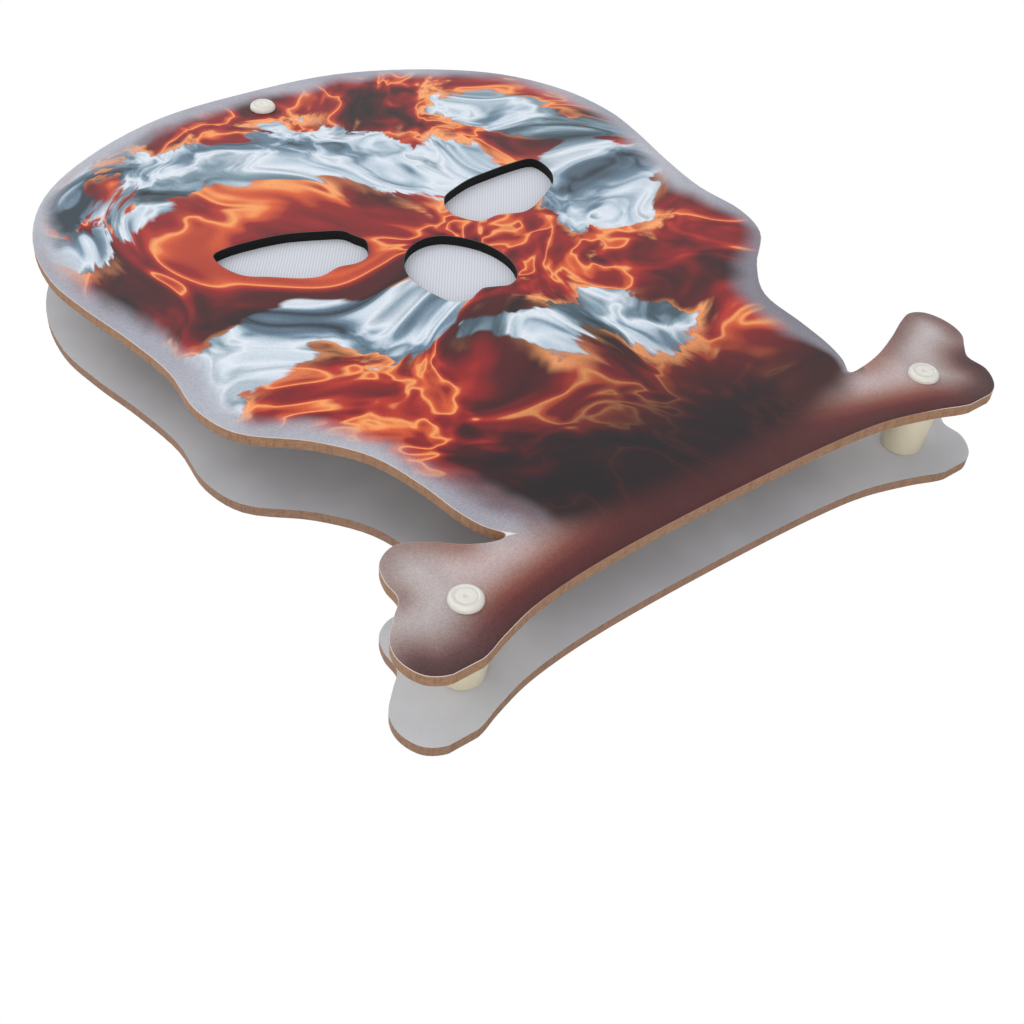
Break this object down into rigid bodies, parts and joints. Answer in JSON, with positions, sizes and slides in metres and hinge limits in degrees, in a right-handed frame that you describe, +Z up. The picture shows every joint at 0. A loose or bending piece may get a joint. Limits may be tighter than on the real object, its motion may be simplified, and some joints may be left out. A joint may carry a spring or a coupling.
{
  "type": "halloween skull decoration",
  "caption": "Flat light-up skull over a bone: two cut boards on spacers, openings lit through cloth, with a keyhole and a battery case at the back.",
  "frame": {"origin": "middle of the footprint, on the surface that the two lower lobes of the bone stand on", "axes": "+Z up, -Y out of the printed front, +Y out of the back, +X to the right seen from the front"},
  "size_m": [0.2072, 0.0314, 0.2542],
  "materials": {
    "printed_board": "matte print on 3 mm fibreboard",
    "raw_board": "bare fibreboard",
    "white_cloth": "ribbed cloth",
    "cream_plastic": "satin",
    "ivory_plastic": "satin",
    "white_plastic": "satin",
    "black_plastic": "satin",
    "dark_steel": "blackened",
    "nickel_steel": "nickel plated",
    "cell_wrap": "printed sleeve, plain",
    "circuit_board": "white lacquer",
    "lamp_resin": "clear yellow window",
    "red_lead": "insulated wire",
    "black_lead": "insulated wire"
  },
  "bodies": {
    "frame": {"front_plate": "printed_board", "back_plate": "raw_board", "diffuser_cloth": "white_cloth", "top_spacer": "cream_plastic", "left_spacer": "cream_plastic", "right_spacer": "cream_plastic", "top_post": "ivory_plastic", "left_post": "ivory_plastic", "right_post": "ivory_plastic", "top_cap": "ivory_plastic", "left_cap": "ivory_plastic", "right_cap": "ivory_plastic", "battery_case": "white_plastic", "left_cell": "cell_wrap", "right_cell": "cell_wrap", "plus_contact": "nickel_steel", "minus_contact": "nickel_steel", "bridge_contact": "nickel_steel", "lower_spring": "nickel_steel", "upper_spring": "nickel_steel", "switch_body": "black_plastic", "case_screw_1": "dark_steel", "case_screw_2": "dark_steel", "case_screw_3": "dark_steel", "case_screw_4": "dark_steel", "left_led_strip": "circuit_board", "left_led_1": "lamp_resin", "left_led_2": "lamp_resin", "left_led_3": "lamp_resin", "right_led_strip": "circuit_board", "right_led_1": "lamp_resin", "right_led_2": "lamp_resin", "right_led_3": "lamp_resin", "nose_led_strip": "circuit_board", "nose_led_1": "lamp_resin", "nose_led_2": "lamp_resin", "switch_lead": "red_lead", "red_feed_lead": "red_lead", "black_feed_lead": "black_lead", "left_red_lead": "red_lead", "left_black_lead": "black_lead", "right_red_lead": "red_lead", "right_black_lead": "black_lead"},
    "lid": {"battery_lid": "white_plastic"},
    "knob": {"switch_knob": "black_plastic"}
  },
  "joints": [
    {"name": "lid_hinge", "type": "hinge", "parent": "frame", "child": "lid", "pos_m": [0.00191, 0.01555, 0.11135], "axis": [-0.9987, 0, -0.0506], "range_deg": [0, 90]},
    {"name": "switch_slide", "type": "slide", "parent": "frame", "child": "knob", "axis": [0.9987, 0, 0.0506], "range_m": [0, 0.0036]}
  ]
}
